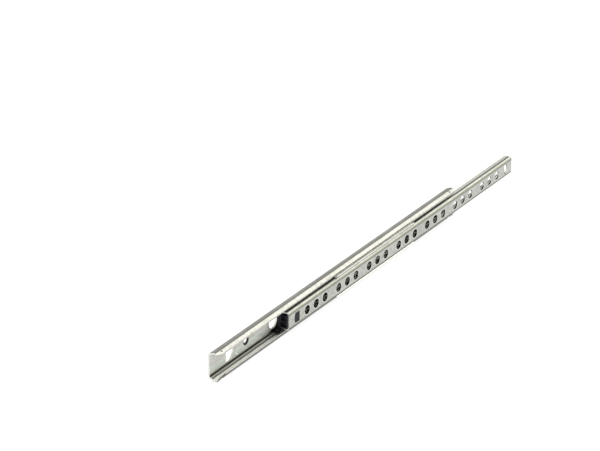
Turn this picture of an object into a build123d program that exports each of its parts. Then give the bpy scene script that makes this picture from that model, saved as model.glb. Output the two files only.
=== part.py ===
from build123d import *
import math
import os

# Partial-extension ball-bearing drawer slide for a 17 mm groove.
#
# +X is the pull direction, +Z is up and +Y is the outward normal of the face
# that lies against the cabinet side. The origin is on that face, at the middle
# of the outer member. "Depth" is the distance from that face towards the
# drawer, along -Y. The slide is modelled part way open.

# ---- driving dimensions, in millimetres ----
LENGTH = 246.0             # both members
HEIGHT = 17.0              # outer member, over the crests of its raceways
THICKNESS = 8.8            # cabinet face to drawer face
SHEET = 0.8                # steel of both members
OPENED = 64.0              # how far the inner member is drawn out here
HOLE_PITCH = 32.0          # from one group of holes to the next

# ---- balls and raceways ----
BALL_RADIUS = 1.25
RACE_CLEARANCE = 0.05
BALLS_PER_ROW = 9
BALL_PITCH = 9.0
BALL_DEPTH = 4.1
race_radius = BALL_RADIUS + RACE_CLEARANCE
race_middle_radius = race_radius + SHEET / 2
ball_z = HEIGHT / 2 - race_radius - SHEET

# ---- outer member ----
FLARE = math.radians(20)   # the flanges lean outwards from the web
LIP_EDGE_Z = 6.15
LIP_CUTBACK_LENGTH = 8.0   # the lips are cut away towards the rear end
LIP_CUTBACK_RISE = 1.75
LIP_CUTBACK_DEPTH = 4.9
OUTER_BEND = 0.8           # middle of the sheet
LATCH_OPENING_START = 15.0  # from the rear end, like the places below
LATCH_OPENING_LENGTH = 7.0
LATCH_OPENING_HALF = 5.5
LATCH_OPENING_BOW = 5.7
DIMPLE_PLACE = 25.0
DIMPLE_Z = 4.35
DIMPLE_RADIUS = 1.3
DIMPLE_RISE = 0.45
DIMPLE_ROOM = 2.0          # half of the stretch of web that a dimple may change
REAR_SCREW_PLACE = 34.0
FRONT_SCREW_PLACE = 236.0
SCREW_HOLE_RADIUS = 1.5
COUNTERSINK_RADIUS = 2.3
COUNTERSINK_DEPTH = 0.5
ACCESS_HOLE_PLACE = 60.0
ACCESS_HOLE_RADIUS = 4.0
CRIMP_PLACE = 5.0          # from each end
CRIMP_ANGLE = math.radians(55)
CRIMP_RADIUS = 0.8
CRIMP_RISE = 0.55

# ---- inner member ----
INNER_HALF_Z = 5.4
INNER_WEB_BEND = 1.2       # middle of the sheet, like the next one
INNER_GROOVE_BEND = 0.7    # where a raceway runs out into its flange
INNER_RACE_HALF_ANGLE = math.radians(28)
INNER_TIP_STRAIGHT = 0.04
HOLE_RADIUS = 2.55
HOLE_GROUPS = 7
HOLES_PER_GROUP = 3
HOLE_STEP = 9.0            # between the holes of one group
FIRST_HOLE_PLACE = 18.0    # from the rear end of the inner member
SLOT_PLACE = 5.15          # bowed side of a slot, from its end
REAR_SLOT_LENGTH = 5.2
FRONT_SLOT_LENGTH = 4.0
SLOT_HALF = 3.1
SLOT_BOW = 5.3

# ---- ball cage ----
CAGE_LENGTH = 83.0
CAGE_SHEET = 0.4
CAGE_WEB_DEPTH = 1.4       # middle of the sheet, like the next three
CAGE_FLANGE_Z = 5.75
CAGE_LIP_DEPTH = 7.8
CAGE_LIP_Z = 6.8
CAGE_WEB_BEND = 0.7
CAGE_LIP_BEND = 0.5
CAGE_HOLE_RADIUS = 1.22

# ---- rear bumper, moulded in one piece ----
BUMPER_HEAD_LENGTH = 4.0   # from the end of the inner member forwards
BUMPER_OVERHANG = 1.0      # from the end of the inner member backwards
BUMPER_ARM_LENGTH = 2.5    # the arms start where the overhang ends
BUMPER_ARM_INNER_Z = 4.9
BUMPER_BODY_LENGTH = 14.0
BUMPER_HALF_Z = 4.0
BUMPER_BACK_DEPTH = 1.7
BUMPER_TIP_DEPTH = 2.95
BUMPER_BODY_DEPTH = 3.5
BUMPER_WING_INNER_Z = 5.65
BUMPER_WING_OUTER_Z = 6.6
BUMPER_WING_DEPTH = 5.2
BUMPER_RIB_HALF = 0.6
BUMPER_POCKET_DEPTH = 1.0
BUMPER_WALL = 0.8
BUMPER_CHAMFER = 0.25
BUMPER_GAP = 0.05
LUG_RECESS = 0.3           # the lug stays below the drawer face
LUG_GAP = 0.1

# ---- where the pieces start along X ----
outer_rear = -LENGTH / 2
inner_rear = outer_rear + OPENED
cage_rear = outer_rear + (LENGTH + OPENED - CAGE_LENGTH) / 2
cage_middle = cage_rear + CAGE_LENGTH / 2
THROUGH = 2 * THICKNESS    # long enough to cut through any wall
BEYOND = 1.0               # how far a cutting outline runs past an end


def bent_sheet(upper_path, bends, gauge, start, run):
    """Sheet of one profile along X, symmetric about the XY plane.

    upper_path holds the (depth, z) corners of the middle of the sheet above
    the XY plane, from its free edge to its last bend. bends holds the radius
    of each bend, in the same order.
    """
    upper = [(-depth, z) for depth, z in upper_path]
    lower = [(y, -z) for y, z in reversed(upper)]
    middle = FilletPolyline(*upper, *lower, radius=bends + bends[::-1])
    profile = trace(middle.edges(), line_width=gauge)
    return Pos(start, 0, 0) * extrude(Plane.YZ * profile, amount=run)


def block(x_from, x_to, depth_from, depth_to, half_z):
    """Box centred on the XY plane."""
    size = (x_to - x_from, depth_to - depth_from, 2 * half_z)
    middle = ((x_from + x_to) / 2, -(depth_from + depth_to) / 2, 0)
    return Pos(*middle) * Box(*size)


def round_cut(x, radius):
    """Cylinder along Y that makes a round hole in a web."""
    return Pos(x, 0, 0) * Rot(X=90) * Cylinder(radius, THROUGH)


def d_shape(x_flat, x_round, half_z, bow_radius):
    """Face in the XZ plane with one straight end and one bowed end."""
    reach = math.copysign(bow_radius, x_flat - x_round)
    bow = Pos(x_round + reach, 0) * Circle(bow_radius)
    outline = Pos((x_flat + x_round) / 2, 0) * Rectangle(abs(x_flat - x_round), 2 * half_z)
    return Plane.XZ * (outline & bow)


def d_cut(x_flat, x_round, half_z, bow_radius):
    """Prism along Y that makes a D-shaped opening in a web."""
    return extrude(d_shape(x_flat, x_round, half_z, bow_radius), amount=THROUGH, both=True)


def outer_blank():
    """Outer member before its holes: web, flared flanges and curled lips."""
    lip_depth = BALL_DEPTH + race_middle_radius
    turn = (1 + math.sin(FLARE)) / math.cos(FLARE)
    crest_corner = ball_z + race_middle_radius * turn
    web_depth = SHEET / 2
    web_corner = crest_corner - (lip_depth - web_depth) * math.tan(FLARE)
    path = [(lip_depth, LIP_EDGE_Z), (lip_depth, crest_corner), (web_depth, web_corner)]
    bends = [race_middle_radius, OUTER_BEND]
    return bent_sheet(path, bends, SHEET, outer_rear, LENGTH)


def lip_cutback():
    """Two wedges that trim the lips where the rear end is."""
    top = LIP_EDGE_Z + LIP_CUTBACK_RISE
    outline = Polyline(
        (outer_rear - BEYOND, -top),
        (outer_rear, -top),
        (outer_rear + LIP_CUTBACK_LENGTH, -LIP_EDGE_Z),
        (outer_rear + LIP_CUTBACK_LENGTH, LIP_EDGE_Z),
        (outer_rear, top),
        (outer_rear - BEYOND, top),
        close=True,
    )
    wedge = extrude(Plane.XZ * make_face(outline), amount=THICKNESS)
    return Pos(0, -LIP_CUTBACK_DEPTH, 0) * wedge


def race_point(x, radius, side):
    """Place of a crimp at a distance from the ball axis; side is 1 or -1."""
    depth = BALL_DEPTH + radius * math.cos(CRIMP_ANGLE)
    z = ball_z + radius * math.sin(CRIMP_ANGLE)
    return Pos(x, -depth, side * z)


def outer_member():
    """Channel that is screwed to the cabinet."""
    member = outer_blank() - lip_cutback()
    for place in (CRIMP_PLACE, LENGTH - CRIMP_PLACE):
        for side in (1, -1):
            x = outer_rear + place
            bump = race_radius - CRIMP_RISE + CRIMP_RADIUS
            hollow = bump + SHEET
            member += race_point(x, bump, side) * Sphere(CRIMP_RADIUS)
            member -= race_point(x, hollow, side) * Sphere(CRIMP_RADIUS)

    opening = outer_rear + LATCH_OPENING_START
    opening_end = opening + LATCH_OPENING_LENGTH
    member -= d_cut(opening, opening_end, LATCH_OPENING_HALF, LATCH_OPENING_BOW)
    dimple = outer_rear + DIMPLE_PLACE
    rise = DIMPLE_RADIUS - DIMPLE_RISE
    dimple_from = dimple - DIMPLE_ROOM
    dimple_to = dimple + DIMPLE_ROOM
    beyond_web = block(dimple_from, dimple_to, SHEET / 2, THICKNESS, HEIGHT / 2)
    for side in (1, -1):
        z = side * DIMPLE_Z
        member += Pos(dimple, rise - SHEET, z) * Sphere(DIMPLE_RADIUS) & beyond_web
        member -= Pos(dimple, rise, z) * Sphere(DIMPLE_RADIUS)

    member -= round_cut(outer_rear + ACCESS_HOLE_PLACE, ACCESS_HOLE_RADIUS)
    for place in (REAR_SCREW_PLACE, FRONT_SCREW_PLACE):
        x = outer_rear + place
        sink_middle = -SHEET + COUNTERSINK_DEPTH / 2
        cone = Cone(SCREW_HOLE_RADIUS, COUNTERSINK_RADIUS, COUNTERSINK_DEPTH)
        member -= round_cut(x, SCREW_HOLE_RADIUS)
        member -= Pos(x, sink_middle, 0) * Rot(X=90) * cone
    return member


def inner_blank():
    """Inner member before its holes: web, flanges and pressed raceways."""
    flange_z = INNER_HALF_Z - SHEET / 2
    slope = INNER_RACE_HALF_ANGLE
    groove_z = ball_z - race_middle_radius / math.cos(slope)
    tip = race_middle_radius * math.tan(slope) + INNER_TIP_STRAIGHT
    path = [
        (BALL_DEPTH - tip * math.cos(slope), groove_z + tip * math.sin(slope)),
        (BALL_DEPTH, groove_z),
        (BALL_DEPTH + (flange_z - groove_z) / math.tan(slope), flange_z),
        (THICKNESS - SHEET / 2, flange_z),
    ]
    bends = [race_middle_radius, INNER_GROOVE_BEND, INNER_WEB_BEND]
    return bent_sheet(path, bends, SHEET, inner_rear, LENGTH)


def inner_member():
    """Channel that is screwed to the drawer."""
    member = inner_blank()
    for group in range(HOLE_GROUPS):
        for hole in range(HOLES_PER_GROUP):
            place = FIRST_HOLE_PLACE + group * HOLE_PITCH + hole * HOLE_STEP
            member -= round_cut(inner_rear + place, HOLE_RADIUS)
    inner_front = inner_rear + LENGTH
    rear_round = inner_rear + SLOT_PLACE
    front_round = inner_front - SLOT_PLACE
    member -= d_cut(rear_round + REAR_SLOT_LENGTH, rear_round, SLOT_HALF, SLOT_BOW)
    member -= d_cut(front_round - FRONT_SLOT_LENGTH, front_round, SLOT_HALF, SLOT_BOW)
    return member


def ball_cage():
    """Thin retainer that carries both rows of balls."""
    path = [
        (CAGE_LIP_DEPTH, CAGE_LIP_Z),
        (CAGE_LIP_DEPTH, CAGE_FLANGE_Z),
        (CAGE_WEB_DEPTH, CAGE_FLANGE_Z),
    ]
    bends = [CAGE_LIP_BEND, CAGE_WEB_BEND]
    cage = bent_sheet(path, bends, CAGE_SHEET, cage_rear, CAGE_LENGTH)
    for x in ball_places():
        cage -= Pos(x, -BALL_DEPTH, 0) * Cylinder(CAGE_HOLE_RADIUS, 2 * HEIGHT)
    return cage


def ball_places():
    """X of each ball of a row."""
    first = cage_middle - (BALLS_PER_ROW - 1) / 2 * BALL_PITCH
    return [first + number * BALL_PITCH for number in range(BALLS_PER_ROW)]


def rear_bumper():
    """Plastic stop at the rear end of the inner member."""
    head_end = inner_rear + BUMPER_HEAD_LENGTH
    body_end = inner_rear + BUMPER_BODY_LENGTH
    front_depth = THICKNESS - SHEET - BUMPER_GAP
    head_start = inner_rear - BUMPER_OVERHANG
    core = block(head_start, head_end, BUMPER_BACK_DEPTH, front_depth, BUMPER_HALF_Z)
    back = block(head_start, head_end, BUMPER_BACK_DEPTH, BUMPER_TIP_DEPTH, BUMPER_WING_OUTER_Z)
    wings = block(head_start, head_end, BUMPER_BACK_DEPTH, BUMPER_WING_DEPTH, BUMPER_WING_OUTER_Z)
    wings -= block(head_start, head_end, BUMPER_TIP_DEPTH, BUMPER_WING_DEPTH, BUMPER_WING_INNER_Z)
    head = core + back + wings
    head = chamfer(head.faces().sort_by(Axis.X)[0].edges(), BUMPER_CHAMFER)
    arm_start = head_start - BUMPER_ARM_LENGTH
    arm_end = head_start + BUMPER_CHAMFER
    arms = block(arm_start, arm_end, BUMPER_BACK_DEPTH, BUMPER_WING_DEPTH, BUMPER_WING_OUTER_Z)
    arms -= block(arm_start, arm_end, BUMPER_BACK_DEPTH, BUMPER_WING_DEPTH, BUMPER_ARM_INNER_Z)
    arms = chamfer(arms.faces().sort_by(Axis.X)[:2].edges(), BUMPER_CHAMFER)
    body = block(inner_rear, body_end, BUMPER_BODY_DEPTH, front_depth, BUMPER_HALF_Z)

    pocket_half = BUMPER_HALF_Z - BUMPER_WALL
    pocket_from = BUMPER_BODY_DEPTH + BUMPER_WALL
    pocket_to = front_depth - BUMPER_WALL
    pocket_end = head_start + BUMPER_POCKET_DEPTH
    pockets = block(head_start, pocket_end, pocket_from, pocket_to, pocket_half)
    pockets -= block(head_start, pocket_end, pocket_from, pocket_to, BUMPER_RIB_HALF)

    x_round = inner_rear + SLOT_PLACE + LUG_GAP
    x_flat = x_round + REAR_SLOT_LENGTH - 2 * LUG_GAP
    lug_face = d_shape(x_flat, x_round, SLOT_HALF - LUG_GAP, SLOT_BOW)
    lug = extrude(lug_face, amount=THICKNESS - LUG_RECESS)
    lug &= block(inner_rear, body_end, BUMPER_BODY_DEPTH, THICKNESS, BUMPER_HALF_Z)
    return (head + arms + body + lug) - pockets


def bearing_balls():
    """Both rows of balls, by name."""
    balls = {}
    for row, side in (("upper", 1), ("lower", -1)):
        for number, x in enumerate(ball_places(), start=1):
            place = Pos(x, -BALL_DEPTH, side * ball_z)
            balls[f"{row}_ball_{number:02d}"] = place * Sphere(BALL_RADIUS)
    return balls


def main():
    pieces = {
        "outer_member": outer_member(),
        "inner_member": inner_member(),
        "ball_cage": ball_cage(),
        "rear_bumper": rear_bumper(),
    }
    pieces.update(bearing_balls())
    os.makedirs("parts", exist_ok=True)
    for name, piece in pieces.items():
        export_step(piece, f"parts/{name}.step")


main()
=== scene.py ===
import bpy
import math
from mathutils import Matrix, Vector


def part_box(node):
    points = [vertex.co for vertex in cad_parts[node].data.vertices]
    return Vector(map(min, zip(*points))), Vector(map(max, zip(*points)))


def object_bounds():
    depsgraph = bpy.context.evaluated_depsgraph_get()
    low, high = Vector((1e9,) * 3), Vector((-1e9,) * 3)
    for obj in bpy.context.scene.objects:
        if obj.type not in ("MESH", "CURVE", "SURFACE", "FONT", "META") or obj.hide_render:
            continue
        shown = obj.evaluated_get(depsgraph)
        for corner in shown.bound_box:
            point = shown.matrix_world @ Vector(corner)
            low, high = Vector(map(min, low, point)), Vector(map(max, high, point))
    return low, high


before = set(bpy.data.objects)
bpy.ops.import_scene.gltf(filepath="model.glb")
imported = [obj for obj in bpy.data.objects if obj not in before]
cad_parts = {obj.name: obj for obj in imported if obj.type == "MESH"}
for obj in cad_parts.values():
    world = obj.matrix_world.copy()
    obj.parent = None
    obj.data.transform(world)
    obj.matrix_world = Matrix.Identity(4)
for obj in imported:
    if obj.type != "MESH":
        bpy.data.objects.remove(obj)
cad_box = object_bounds()

MM = 0.001

# ---- the view: a long lens that looks down along the slide ----
CAMERA_AIM = Vector((-26.7, 5.3, 41.4)) * MM
CAMERA_DISTANCE = 1.4988
CAMERA_AZIMUTH = math.radians(-56.93)
CAMERA_ELEVATION = math.radians(25.58)
CAMERA_LENS = 165.0
CAMERA_SENSOR = 36.0
CAMERA_CLIP = (0.05, 50.0)     # metres

# ---- the slide: what the materials need to know, in millimetres ----
outer_low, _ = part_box("outer_member")
inner_low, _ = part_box("inner_member")
OUTER_REAR_X = outer_low.x / MM
WEB_FACE_Y = inner_low.y / MM
HOLE_PITCH = 32.0
HOLE_STEP = 9.0
FIRST_HOLE = 18.0              # from the rear end of the inner member
FIRST_HOLE_X = inner_low.x / MM + FIRST_HOLE
HOLES_HALF = 3 * HOLE_PITCH + HOLE_STEP   # seven groups of three: middle hole to first hole
MIDDLE_HOLE_X = FIRST_HOLE_X + HOLES_HALF
BEND_Z = 4.3
GROOVE_DEPTH = 7.0
BALL_DEPTH = 4.1
BALL_Z = 6.4
SCREW_PLACES = (34.0, 236.0)   # from the rear end of the outer member
ARROW_TIP_X = -33.0
ARROW_NECK_X = -24.5
ARROW_END_X = -19.0
ARROW_HEAD_HALF = 2.4
ARROW_SHAFT_HALF = 0.7
PRINT_BLUR = 0.05              # half the soft edge of the printed arrow

# ---- masks, in millimetres: where each is 0, then where it is 1; FROM_ is a distance ----
# inner member
WEB_OUTSIDE_Y = (WEB_FACE_Y + 0.9, WEB_FACE_Y + 0.5)
FROM_BEND = (1.0, 0.4)
FROM_HOLE_RING = (3.3, 2.8)
FROM_HOLE_WALL = (2.72, 2.6)
FROM_GROUP = (13.2, 12.8)
FROM_MIDDLE_HOLE = (HOLES_HALF + 5.0, HOLES_HALF + 4.0)
FLANGE_HEIGHT = (4.4, 4.7)
RACEWAY_Y = (-6.4, -6.0)
FROM_GROOVE = (0.4, 0.2)
LOW_BEND_Z = (-3.8, -4.1)
LOW_BEND_Y = (-6.9, -7.3)
# outer member; where there are two pairs, the mask lies between them
FROM_BALLS_RACE = (1.75, 1.55)
FROM_BALLS_SHADE = (1.8, 2.0)
WEB_CHANNEL_Y = ((-0.6, -0.75), (-1.3, -1.1))
# painted light: where the strip of web is made lighter
LIGHTER_WEB_Z = ((-0.2, -2.0), (-5.2, -4.4))
LOW_FLANGE_Z = ((-5.4, -5.8), (-7.9, -7.8))
LIP_EDGE_Z = ((-6.35, -6.25), (-6.0, -6.1))
LIP_EDGE_Y = (-5.1, -5.3)
UNDER_LIP_Z = (-6.25, -6.4)
UNDER_LIP_Y = (-4.6, -5.0)
FROM_SCREW = (2.9, 2.5)
COUNTERSINK_Y = (-0.1, -0.25)
CABINET_FACE_Y = (-0.3, -0.1)

# ---- how strong a mark is, 0 to 1 ----
BEND_SHADE_STRENGTH = 0.75
RING_BRIGHTNESS = 0.6
GROOVE_SHADE_STRENGTH = 0.45

# ---- roughness and shine ----
CUT_ROUGHNESS = 0.45
RUBBED_ROUGHNESS = 0.65
RUNNING_ROUGHNESS = 0.42
RACE_ROUGHNESS = 0.28
WEB_STRIP_ROUGHNESS = 0.42
BALL_ROUGHNESS = (0.08, 0.16)
PLASTIC_ROUGHNESS = (0.40, 0.55)
PLASTIC_SPECULAR = 0.2
SHADE_AND_PRINT_SPECULAR = 0.1            # painted shade and print on the steel hardly shine
SMOOTHER = 0.05                # how far the plating's roughness goes below its mean
ROUGHER = 0.06                 # and above it

# ---- colours ----
BRIGHT_STEEL = (0.80, 0.80, 0.77)
# painted shade: olive darkening of the inner member's bends beside the web
BEND_SHADE_OLIVE = (0.16, 0.155, 0.115)
# partly real burnish where the balls run and partly a painted highlight on the inner raceways; a
# painted highlight on the outer member's lower lip edge
BURNISHED_AND_HIGHLIGHT = (0.95, 0.95, 0.91)
# painted shade: grey for the hole walls, the groove line and the lower bend of the inner member,
# and under the outer member's lower lip
SHADE_GREY = (0.07, 0.07, 0.06)
# painted shade: the upper race of the outer member, dark
SHADED_RACE_DARK = (0.05, 0.047, 0.04)
# the lower race of the outer member: worn, and brighter as a painted highlight
WORN_RACE_HIGHLIGHT = (0.93, 0.94, 0.89)
# painted light: the strip of the outer member's web, lighter
LIGHTER_WEB_TINT = (0.66, 0.70, 0.66)
# black of the printed arrow, and painted shade in the countersinks
PRINT_AND_SHADE_BLACK = (0.02, 0.02, 0.02)
# light tone, dark tone and mean roughness of the plating
OUTER_ZINC = ((0.60, 0.60, 0.56), (0.36, 0.36, 0.33), 0.14)
INNER_ZINC = ((0.60, 0.61, 0.565), (0.33, 0.35, 0.315), 0.14)
CAGE_ZINC = ((0.86, 0.85, 0.81), (0.74, 0.73, 0.69), 0.40)
# place in the noise and tone there
BALL_TONES = [(0.3, (0.70, 0.70, 0.70)), (0.7, (0.82, 0.82, 0.83))]
PLASTIC_TONES = [(0.3, (0.005, 0.005, 0.007)), (0.7, (0.012, 0.013, 0.018))]
# depth, half width and colour of the bands along the lower flange of the outer member: the dark
# ones are painted shade, the light ones painted reflection and highlight
PAINTED_FLANGE_BANDS = [
    (0.95, 0.30, (0.05, 0.05, 0.04)),
    (1.60, 0.40, (0.60, 0.62, 0.57)),
    (2.45, 0.50, (0.25, 0.26, 0.24)),
    (3.45, 0.65, (1.0, 1.0, 0.95)),
]
BAND_CORE = 0.6                # share of the half width that has the full colour

# ---- surface patterns: stretch of the point; scale, detail and roughness of the noise ----
ROLLING_LINES = ((6, 300, 300), 6.0, 4.0, 0.6)
CLOUDS = ((1, 1, 1), 60.0, 4.0, 0.6)
SPANGLE = ((0.6, 1, 1), 700.0, 3.0, 0.7)
PITS = ((1, 1, 1), 1600.0, 2.0, 0.6)
BALL_CLOUDS = ((1, 1, 1), 900.0, 2.0, 0.5)
PLASTIC_GRAIN = ((1, 1, 1), 2500.0, 3.0, 0.7)
PLASTIC_CLOUDS = ((1, 1, 1), 300.0, 2.0, 0.5)
DARK_ZINC_AT = 0.36            # places in the mixed pattern
LIGHT_ZINC_AT = 0.62
WORN_PITS = (0.3, 0.6)         # where edge wear is 0 and 1 in the pits pattern
# depth in metres and strength
WAVES_BUMP = (0.00006, 0.5)
LINES_BUMP = (0.000004, 0.6)
PITS_BUMP = (0.000003, 0.5)
PLASTIC_BUMP = (0.00002, 0.4)
EDGE_WEAR = 0.0003             # metres
EDGE_TURN = (0.99, 0.80)       # cosine between the flat and the rounded normal
END_TURN = (0.9, 0.98)         # how much of the normal points along X
BEVEL_SAMPLES = 4

# ---- studio ----
FLOOR_SIZE = 60.0              # metres
FLOOR_PAPER = 0.25
FLOOR_GLOW = 0.85
FLOOR_ROUGHNESS = 0.9
FLOOR_SPECULAR = 0.1
CONTACT_SHADOW = 0.0004        # metres
CONTACT_SAMPLES = 8
CONTACT_TONES = [(0.45, (0, 0, 0)), (0.8, (1, 1, 1))]
PANEL_AZIMUTH = math.radians(-40)   # from +X towards +Y
PANEL_LIGHT = 2.0
WARM = (1.0, 0.985, 0.94)
NEUTRAL = (1.0, 0.995, 0.955)
# cosine of the angle from the panel's direction, brightness, tint
ROOM_LIGHT = [
    (-1.0, 1.05, NEUTRAL),
    (-0.3, 0.95, NEUTRAL),
    (0.0, 0.70, NEUTRAL),
    (0.10, 0.42, NEUTRAL),
    (0.42, 0.48, NEUTRAL),
    (0.56, 1.90, WARM),
    (1.0, 2.00, WARM),
]


# ---- small helpers for node materials ----
def new_material(name):
    """Empty node material with its shader."""
    material = bpy.data.materials.new(name)
    material.use_nodes = True
    tree = material.node_tree
    tree.nodes.clear()
    output = tree.nodes.new("ShaderNodeOutputMaterial")
    shader = tree.nodes.new("ShaderNodeBsdfPrincipled")
    tree.links.new(shader.outputs["BSDF"], output.inputs["Surface"])
    return material, tree, shader


def set_input(tree, socket, value):
    """Links a socket to an input, or writes a constant into it."""
    if isinstance(value, bpy.types.NodeSocket):
        tree.links.new(value, socket)
    elif socket.type == "RGBA":
        socket.default_value = (*value, 1)
    else:
        socket.default_value = value


def add_node(tree, kind, inputs, **settings):
    """Node with its settings and its inputs, which go by name or number."""
    node = tree.nodes.new(kind)
    for name, value in settings.items():
        setattr(node, name, value)
    for name, value in inputs.items():
        set_input(tree, node.inputs[name], value)
    return node


def object_point(tree, scale):
    """Position on the piece in metres, stretched by scale."""
    place = add_node(tree, "ShaderNodeTexCoord", {})
    inputs = {"Vector": place.outputs["Object"], "Scale": scale}
    return add_node(tree, "ShaderNodeMapping", inputs).outputs["Vector"]


def noise(tree, stretch, scale, detail, roughness):
    """Noise value over the piece, 0 to 1."""
    point = object_point(tree, stretch)
    inputs = {"Vector": point, "Scale": scale, "Detail": detail, "Roughness": roughness}
    return add_node(tree, "ShaderNodeTexNoise", inputs).outputs["Fac"]


def ramp(tree, value, stops):
    """Colour ramp through (place, colour) stops."""
    node = add_node(tree, "ShaderNodeValToRGB", {"Fac": value})
    elements = node.color_ramp.elements
    elements[0].position = stops[0][0]
    elements[1].position = stops[-1][0]
    for place, _ in stops[1:-1]:
        elements.new(place)
    for element, (_, colour) in zip(elements, stops):
        element.color = (*colour, 1)
    return node.outputs["Color"]


def to_range(tree, value, low, high):
    """Maps 0..1 to low..high."""
    inputs = {"Value": value, "To Min": low, "To Max": high}
    return add_node(tree, "ShaderNodeMapRange", inputs).outputs["Result"]


def bump(tree, height, distance, strength, normal=None):
    """Bump of a height given as 0..1, in metres of distance, on top of an earlier bump."""
    inputs = {"Height": height, "Distance": distance, "Strength": strength}
    if normal is not None:
        inputs["Normal"] = normal
    return add_node(tree, "ShaderNodeBump", inputs).outputs["Normal"]


def maths(tree, operation, *values):
    """Math node; each value is a number or a socket."""
    return add_node(tree, "ShaderNodeMath", dict(enumerate(values)), operation=operation).outputs[0]


def both(tree, *masks):
    """1 where every mask is 1: their product."""
    result = masks[0]
    for mask in masks[1:]:
        result = maths(tree, "MULTIPLY", result, mask)
    return result


def distance(tree, first, second):
    """Length of a plane vector."""
    squares = [maths(tree, "POWER", value, 2.0) for value in (first, second)]
    return maths(tree, "SQRT", maths(tree, "ADD", *squares))


def gap(tree, value, place):
    """How far value is from place, never negative."""
    return maths(tree, "ABSOLUTE", maths(tree, "SUBTRACT", value, place))


def average(tree, first, second):
    """Mean of two values."""
    inputs = {"Factor": 0.5, "A": first, "B": second}
    return add_node(tree, "ShaderNodeMix", inputs).outputs["Result"]


def fade(tree, value, at_zero, at_one):
    """Smooth step from 0 to 1 between two values, the first of which may be the larger."""
    inputs = {"Value": value, "From Min": at_zero, "From Max": at_one}
    node = add_node(tree, "ShaderNodeMapRange", inputs, interpolation_type="SMOOTHSTEP")
    return node.outputs["Result"]


def between(tree, value, one_side, other_side):
    """1 between two soft edges, each a pair for fade."""
    return both(tree, fade(tree, value, *one_side), fade(tree, value, *other_side))


def blend_colour(tree, factor, first, second):
    """Colour that goes from first to second as factor goes from 0 to 1."""
    node = add_node(tree, "ShaderNodeMix", {"Factor": factor}, data_type="RGBA")
    sockets = [socket for socket in node.inputs if socket.type == "RGBA"]
    set_input(tree, sockets[0], first)
    set_input(tree, sockets[1], second)
    return [socket for socket in node.outputs if socket.type == "RGBA"][0]


def paint_patch(tree, mask, colour, rough, new_colour, new_rough):
    """Where mask is 1, the colour becomes new_colour and the roughness at least new_rough."""
    rough = maths(tree, "MAXIMUM", rough, maths(tree, "MULTIPLY", mask, new_rough))
    return blend_colour(tree, mask, colour, new_colour), rough


def place_in_mm(tree):
    """X, Y and Z of the shaded point, in millimetres of the shared frame at rest."""
    point = object_point(tree, (1 / MM, 1 / MM, 1 / MM))
    split = add_node(tree, "ShaderNodeSeparateXYZ", {"Vector": point})
    return split.outputs["X"], split.outputs["Y"], split.outputs["Z"]


def edge_wear(tree):
    """1 on the edges of a piece, 0 away from them."""
    rounded = add_node(tree, "ShaderNodeBevel", {"Radius": EDGE_WEAR}, samples=BEVEL_SAMPLES)
    flat = add_node(tree, "ShaderNodeNewGeometry", {})
    normals = {0: rounded.outputs["Normal"], 1: flat.outputs["True Normal"]}
    node = add_node(tree, "ShaderNodeVectorMath", normals, operation="DOT_PRODUCT")
    return fade(tree, node.outputs["Value"], *EDGE_TURN)


def cut_ends(tree):
    """1 on the sawn ends of a strip, which face along X."""
    normal = add_node(tree, "ShaderNodeNewGeometry", {}).outputs["True Normal"]
    split = add_node(tree, "ShaderNodeSeparateXYZ", {"Vector": normal})
    return fade(tree, maths(tree, "ABSOLUTE", split.outputs["X"]), *END_TURN)


# ---- marks that only one piece has ----
def nearest_hole(tree, x, z):
    """Distance to the nearest place of a screw hole in the inner member, and 1 if it has a hole."""
    group_middle = FIRST_HOLE_X + HOLE_STEP
    from_group = maths(tree, "SUBTRACT", x, group_middle - HOLE_PITCH / 2)
    from_group = maths(tree, "FLOORED_MODULO", from_group, HOLE_PITCH)
    from_group = maths(tree, "SUBTRACT", from_group, HOLE_PITCH / 2)
    along = maths(tree, "PINGPONG", from_group, HOLE_STEP / 2)
    in_group = fade(tree, maths(tree, "ABSOLUTE", from_group), *FROM_GROUP)
    between_slots = fade(tree, gap(tree, x, MIDDLE_HOLE_X), *FROM_MIDDLE_HOLE)
    return distance(tree, along, z), both(tree, in_group, between_slots)


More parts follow.
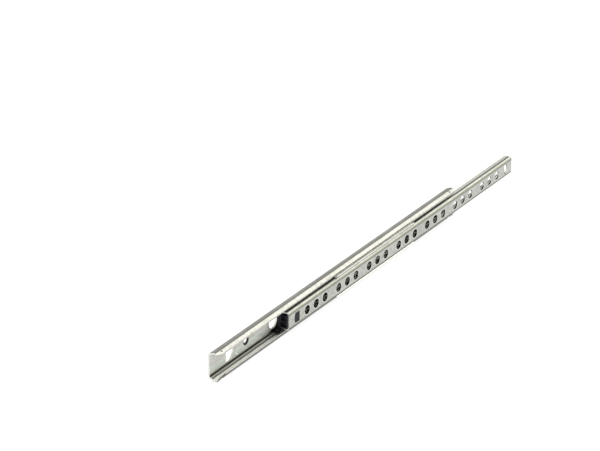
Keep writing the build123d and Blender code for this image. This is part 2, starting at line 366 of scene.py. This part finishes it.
def inner_marks(tree, colour, rough):
    """Marks of the inner member.

    Painted shade: olive on the bends beside the web; a bright ring and painted shade in the walls
    at each screw hole;
    raceways made brighter (worn by the balls, with a painted highlight) and a painted shade line
    along their groove; painted shade on the outside of the lower bend.
    """
    x, y, z = place_in_mm(tree)
    height = maths(tree, "ABSOLUTE", z)
    outside = fade(tree, y, *WEB_OUTSIDE_Y)

    # painted shade: the bends beside the web are darkened to olive
    bend_shade = both(tree, fade(tree, gap(tree, height, BEND_Z), *FROM_BEND), outside, BEND_SHADE_STRENGTH)
    colour = blend_colour(tree, bend_shade, colour, BEND_SHADE_OLIVE)

    from_hole, has_hole = nearest_hole(tree, x, z)
    ring = both(tree, fade(tree, from_hole, *FROM_HOLE_RING), outside, has_hole, RING_BRIGHTNESS)
    colour = blend_colour(tree, ring, colour, BRIGHT_STEEL)
    # painted shade in the walls of each screw hole
    hole_wall_shade = both(tree, fade(tree, from_hole, *FROM_HOLE_WALL), has_hole)
    colour = blend_colour(tree, hole_wall_shade, colour, SHADE_GREY)

    # raceways: brighter, partly worn by the balls and partly a painted highlight
    on_flange = fade(tree, height, *FLANGE_HEIGHT)
    raceway = both(tree, on_flange, fade(tree, y, *RACEWAY_Y))
    colour, rough = paint_patch(tree, raceway, colour, rough, BURNISHED_AND_HIGHLIGHT, RUNNING_ROUGHNESS)
    # painted shade: a dark line along the groove
    groove = fade(tree, gap(tree, y, -GROOVE_DEPTH), *FROM_GROOVE)
    groove = both(tree, groove, on_flange, GROOVE_SHADE_STRENGTH)
    colour = blend_colour(tree, groove, colour, SHADE_GREY)

    # painted shade on the outside of the lower bend, which is also made matt
    low_bend = both(tree, fade(tree, z, *LOW_BEND_Z), fade(tree, y, *LOW_BEND_Y))
    return blend_colour(tree, low_bend, colour, SHADE_GREY), rough, low_bend


def printed_arrow(tree, x, y, height):
    """1 on the arrow on the cabinet face, which points to the rear end."""
    neck_low = ARROW_NECK_X - PRINT_BLUR
    neck_high = ARROW_NECK_X + PRINT_BLUR
    shaft_side = fade(tree, height, ARROW_SHAFT_HALF + PRINT_BLUR, ARROW_SHAFT_HALF - PRINT_BLUR)
    shaft = both(tree, shaft_side, fade(tree, x, neck_low, neck_high))
    widening = ARROW_HEAD_HALF / (ARROW_NECK_X - ARROW_TIP_X)
    head_half = maths(tree, "MULTIPLY", maths(tree, "SUBTRACT", x, ARROW_TIP_X), widening)
    head_side = fade(tree, maths(tree, "SUBTRACT", head_half, height), -PRINT_BLUR, PRINT_BLUR)
    head = both(tree, head_side, fade(tree, x, neck_high, neck_low))
    before_end = fade(tree, x, ARROW_END_X + PRINT_BLUR, ARROW_END_X - PRINT_BLUR)
    on_face = fade(tree, y, *CABINET_FACE_Y)
    return both(tree, maths(tree, "MAXIMUM", head, shaft), before_end, on_face)


def outer_marks(tree, colour, rough):
    """Marks of the outer member.

    A dark upper race (painted shade) and a bright lower one (worn, with a painted highlight); a
    strip of web painted lighter;
    painted shade and highlight bands along the lower flange; painted shade under the lower lip and
    a painted highlight on its edge; painted shade in the countersinks; the printed arrow.
    """
    x, y, z = place_in_mm(tree)
    depth_off = maths(tree, "ADD", y, BALL_DEPTH)
    from_upper_balls = distance(tree, depth_off, maths(tree, "SUBTRACT", z, BALL_Z))
    from_lower_balls = distance(tree, depth_off, maths(tree, "SUBTRACT", z, -BALL_Z))
    # painted shade: dark upper race; the lower race is worn and brighter as a painted highlight
    for from_balls, tone in ((from_upper_balls, SHADED_RACE_DARK), (from_lower_balls, WORN_RACE_HIGHLIGHT)):
        in_race = fade(tree, from_balls, *FROM_BALLS_RACE)
        colour, rough = paint_patch(tree, in_race, colour, rough, tone, RACE_ROUGHNESS)

    # painted light: a strip of web made lighter, and rougher
    lighter_web = both(tree, between(tree, y, *WEB_CHANNEL_Y), between(tree, z, *LIGHTER_WEB_Z))
    colour, rough = paint_patch(tree, lighter_web, colour, rough, LIGHTER_WEB_TINT, WEB_STRIP_ROUGHNESS)

    # painted shade and painted highlight bands along the lower flange
    low_flange = between(tree, z, *LOW_FLANGE_Z)
    for depth, half, tone in PAINTED_FLANGE_BANDS:
        painted_band = both(tree, fade(tree, gap(tree, y, -depth), half, half * BAND_CORE), low_flange)
        colour, rough = paint_patch(tree, painted_band, colour, rough, tone, RUBBED_ROUGHNESS)

    # painted shade under the lower lip, which is also made matt
    under_lip = both(tree, fade(tree, z, *UNDER_LIP_Z), fade(tree, y, *UNDER_LIP_Y))
    shade_and_print = both(tree, under_lip, fade(tree, from_lower_balls, *FROM_BALLS_SHADE))
    colour = blend_colour(tree, shade_and_print, colour, SHADE_GREY)
    # painted highlight on the edge of the lower lip
    lip_edge = both(tree, between(tree, z, *LIP_EDGE_Z), fade(tree, y, *LIP_EDGE_Y))
    colour, rough = paint_patch(tree, lip_edge, colour, rough, BURNISHED_AND_HIGHLIGHT, RUBBED_ROUGHNESS)

    channel_side = fade(tree, y, *COUNTERSINK_Y)
    # painted shade: the countersinks are darkened to black and made matt
    for place in SCREW_PLACES:
        from_screw = distance(tree, maths(tree, "SUBTRACT", x, OUTER_REAR_X + place), z)
        countersink_shade = both(tree, fade(tree, from_screw, *FROM_SCREW), channel_side)
        shade_and_print = maths(tree, "MAXIMUM", shade_and_print, countersink_shade)
        colour = blend_colour(tree, countersink_shade, colour, PRINT_AND_SHADE_BLACK)

    arrow = printed_arrow(tree, x, y, maths(tree, "ABSOLUTE", z))
    shade_and_print = maths(tree, "MAXIMUM", shade_and_print, arrow)
    return blend_colour(tree, arrow, colour, PRINT_AND_SHADE_BLACK), rough, shade_and_print


# ---- materials ----
def zinc_plate(name, light, dark, roughness, marks=None):
    """Zinc-plated strip: fine rolling lines along X, cloudy plating, small pits, bright edges.

    marks(tree, colour, rough) may add what only this piece has. It returns both again, and
    a third value: 1 where the surface is matt instead of metallic, at painted shade and at print.
    """
    material, tree, shader = new_material(name)
    rolled = noise(tree, *ROLLING_LINES)
    cloud = noise(tree, *CLOUDS)
    spangle = noise(tree, *SPANGLE)
    pits = noise(tree, *PITS)
    mixed = average(tree, average(tree, cloud, rolled), spangle)
    colour = ramp(tree, mixed, [(DARK_ZINC_AT, dark), (LIGHT_ZINC_AT, light)])
    wear = both(tree, edge_wear(tree), fade(tree, pits, *WORN_PITS))
    colour = blend_colour(tree, wear, colour, BRIGHT_STEEL)
    rough = to_range(tree, cloud, roughness - SMOOTHER, roughness + ROUGHER)
    shader.inputs["Metallic"].default_value = 1.0
    shader.inputs["Specular IOR Level"].default_value = SHADE_AND_PRINT_SPECULAR
    if marks is not None:
        colour, rough, shade_and_print = marks(tree, colour, rough)
        tree.links.new(maths(tree, "SUBTRACT", 1.0, shade_and_print), shader.inputs["Metallic"])
    colour, rough = paint_patch(tree, cut_ends(tree), colour, rough, BRIGHT_STEEL, CUT_ROUGHNESS)
    tree.links.new(colour, shader.inputs["Base Color"])
    tree.links.new(rough, shader.inputs["Roughness"])
    waves = bump(tree, cloud, *WAVES_BUMP)
    lines = bump(tree, rolled, *LINES_BUMP, waves)
    tree.links.new(bump(tree, pits, *PITS_BUMP, lines), shader.inputs["Normal"])
    return material


def bearing_steel():
    """Smooth, slightly cloudy steel of the balls."""
    material, tree, shader = new_material("bearing_steel")
    cloud = noise(tree, *BALL_CLOUDS)
    tree.links.new(ramp(tree, cloud, BALL_TONES), shader.inputs["Base Color"])
    shader.inputs["Metallic"].default_value = 1.0
    tree.links.new(to_range(tree, cloud, *BALL_ROUGHNESS), shader.inputs["Roughness"])
    return material


def black_plastic():
    """Fine-grained moulded plastic of the bumper."""
    material, tree, shader = new_material("black_plastic")
    grain = noise(tree, *PLASTIC_GRAIN)
    cloud = noise(tree, *PLASTIC_CLOUDS)
    tree.links.new(ramp(tree, cloud, PLASTIC_TONES), shader.inputs["Base Color"])
    tree.links.new(to_range(tree, cloud, *PLASTIC_ROUGHNESS), shader.inputs["Roughness"])
    shader.inputs["Specular IOR Level"].default_value = PLASTIC_SPECULAR
    tree.links.new(bump(tree, grain, *PLASTIC_BUMP), shader.inputs["Normal"])
    return material


def finish_cad_nodes():
    """Gives every CAD piece its one material; those not named here are the balls."""
    ball = bearing_steel()
    finishes = {
        "outer_member": zinc_plate("outer_zinc", *OUTER_ZINC, outer_marks),
        "inner_member": zinc_plate("inner_zinc", *INNER_ZINC, inner_marks),
        "ball_cage": zinc_plate("cage_zinc", *CAGE_ZINC),
        "rear_bumper": black_plastic(),
    }
    for name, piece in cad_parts.items():
        piece.data.materials.clear()
        piece.data.materials.append(finishes.get(name, ball))


# ---- studio ----
def studio_floor():
    """White light table under the slide: it glows, so that hardly any shadow falls on it."""
    low, _ = cad_box
    bpy.ops.mesh.primitive_plane_add(size=FLOOR_SIZE, location=(0, 0, low.z))
    floor = bpy.context.object
    floor.name = "floor"
    material, tree, shader = new_material("floor_paper")
    shader.inputs["Base Color"].default_value = (FLOOR_PAPER, FLOOR_PAPER, FLOOR_PAPER, 1)
    reach = {"Distance": CONTACT_SHADOW}
    contact = add_node(tree, "ShaderNodeAmbientOcclusion", reach, samples=CONTACT_SAMPLES)
    lit = ramp(tree, contact.outputs["AO"], CONTACT_TONES)
    tree.links.new(lit, shader.inputs["Emission Color"])
    shader.inputs["Emission Strength"].default_value = FLOOR_GLOW
    shader.inputs["Roughness"].default_value = FLOOR_ROUGHNESS
    shader.inputs["Specular IOR Level"].default_value = FLOOR_SPECULAR
    floor.data.materials.append(material)


def world_light():
    """One big soft panel to the right of the camera; the rest of the room is dimmer."""
    world = bpy.data.worlds.new("studio")
    bpy.context.scene.world = world
    world.use_nodes = True
    tree = world.node_tree
    tree.nodes.clear()
    output = tree.nodes.new("ShaderNodeOutputWorld")
    background = tree.nodes.new("ShaderNodeBackground")
    place = add_node(tree, "ShaderNodeTexCoord", {})
    panel = (math.cos(PANEL_AZIMUTH), math.sin(PANEL_AZIMUTH), 0)
    directions = {0: place.outputs["Generated"], 1: panel}
    cosine = add_node(tree, "ShaderNodeVectorMath", directions, operation="DOT_PRODUCT")
    spread = {"Value": cosine.outputs["Value"], "From Min": -1.0}
    where = add_node(tree, "ShaderNodeMapRange", spread)
    stops = []
    for turn, level, tint in ROOM_LIGHT:
        stops.append(((1 + turn) / 2, tuple(channel * level / PANEL_LIGHT for channel in tint)))
    tree.links.new(ramp(tree, where.outputs["Result"], stops), background.inputs["Color"])
    background.inputs["Strength"].default_value = PANEL_LIGHT
    tree.links.new(background.outputs["Background"], output.inputs["Surface"])


def make_camera():
    """Camera that sees the slide as the photo does."""
    data = bpy.data.cameras.new("camera")
    data.lens = CAMERA_LENS
    data.sensor_width = CAMERA_SENSOR
    data.clip_start, data.clip_end = CAMERA_CLIP
    camera = bpy.data.objects.new("camera", data)
    bpy.context.scene.collection.objects.link(camera)
    level = math.cos(CAMERA_ELEVATION)
    back = Vector((
        math.sin(CAMERA_AZIMUTH) * level,
        -math.cos(CAMERA_AZIMUTH) * level,
        math.sin(CAMERA_ELEVATION),
    ))
    camera.location = CAMERA_AIM + back * CAMERA_DISTANCE
    camera.rotation_mode = "QUATERNION"
    camera.rotation_quaternion = (-back).to_track_quat("-Z", "Y")
    bpy.context.scene.camera = camera


def plain_colours():
    """White stays white: no film curve."""
    bpy.context.scene.view_settings.view_transform = "Standard"


finish_cad_nodes()
studio_floor()
world_light()
make_camera()
plain_colours()
